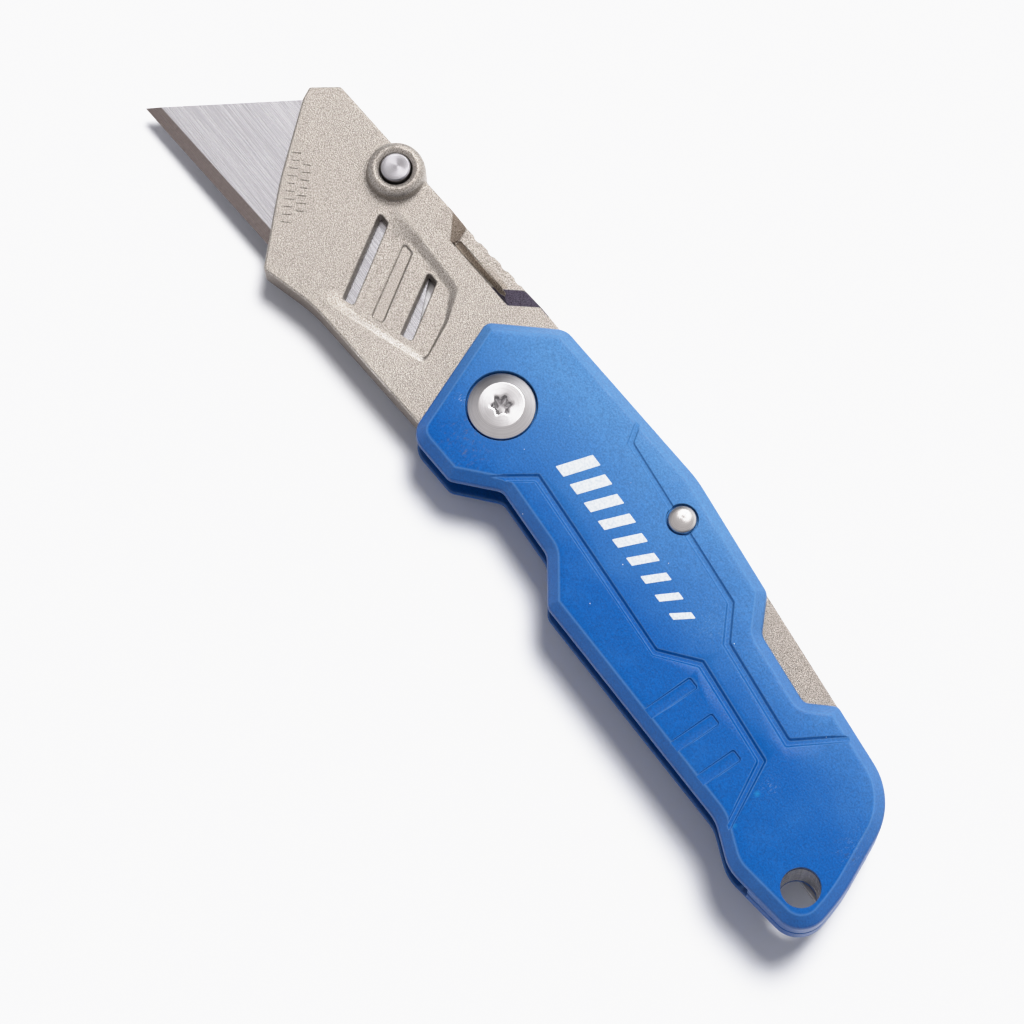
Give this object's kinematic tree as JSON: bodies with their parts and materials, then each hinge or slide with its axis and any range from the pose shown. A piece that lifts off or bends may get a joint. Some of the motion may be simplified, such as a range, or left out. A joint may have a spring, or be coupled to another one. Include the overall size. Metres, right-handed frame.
{
  "type": "utility knife",
  "caption": "Folding utility knife with moulded handle shells, a cast blade holder, a trapezoid blade, a back lock bar, a blade release button and a belt clip.",
  "frame": {"origin": "middle of the bounding box's base, on the surface that the knife lies on", "axes": "+X along the handle towards its tail, with the open blade pointing to -X; +Y towards the knife's back, where the lock bar lies; +Z out of the face with the pivot screw, with the belt clip below"},
  "size_m": [0.1613, 0.0326, 0.016],
  "materials": {
    "blue_nylon": "fine moulded grain, satin",
    "cast_metal": "die cast and bead blasted, sandy grain",
    "blade_steel": "brushed along the blade, with a darker ground bevel",
    "turned_steel": "turned, bright",
    "spring_steel": "darkened, satin",
    "brass": "plain"
  },
  "bodies": {
    "handle": {"top_shell": "blue_nylon", "bottom_shell": "blue_nylon", "pivot_screw": "turned_steel", "pivot_barrel": "turned_steel", "pivot_washer_top": "brass", "pivot_washer_bottom": "brass", "stop_pin": "turned_steel", "lock_bar_rivet": "turned_steel", "lock_spring": "spring_steel", "lanyard_tube": "spring_steel", "shell_screw": "turned_steel", "clip_screw_1": "turned_steel", "clip_screw_2": "turned_steel", "clip_screw_3": "turned_steel"},
    "holder": {"blade_holder": "cast_metal", "holder_cover": "spring_steel", "cover_screw_1": "turned_steel", "cover_screw_2": "turned_steel", "cover_screw_3": "turned_steel", "button_retainer": "spring_steel", "button_spring": "spring_steel"},
    "blade": {"blade": "blade_steel"},
    "button": {"release_button": "turned_steel"},
    "lock_bar": {"lock_bar": "cast_metal"},
    "clip": {"belt_clip": "spring_steel"}
  },
  "joints": [
    {"name": "blade_fold", "type": "hinge", "parent": "handle", "child": "holder", "pos_m": [-0.00774, -0.00071, 0.00955], "axis": [0, 0, 1], "range_deg": [0, 166]},
    {"name": "lock_bar_rock", "type": "hinge", "parent": "handle", "child": "lock_bar", "pos_m": [0.02206, 0.01049, 0.00955], "axis": [0, 0, 1], "range_deg": [-3, 2], "stiffness_Nm_per_rad": 0.12, "deforming": ["lock_spring"]},
    {"name": "button_press", "type": "slide", "parent": "holder", "child": "button", "axis": [0, 0, -1], "range_m": [0, 0.0012], "stiffness_N_per_m": 120, "springref_m": -0.002, "deforming": ["button_spring"]},
    {"name": "blade_slide", "type": "slide", "parent": "holder", "child": "blade", "axis": [0.9965, 0.0837, 0], "range_m": [-0.045, 0]},
    {"name": "clip_flex", "type": "hinge", "parent": "handle", "child": "clip", "pos_m": [0.07226, -0.00071, 0.0028], "axis": [0, -1, 0], "range_deg": [0, 2], "stiffness_Nm_per_rad": 0.1}
  ]
}
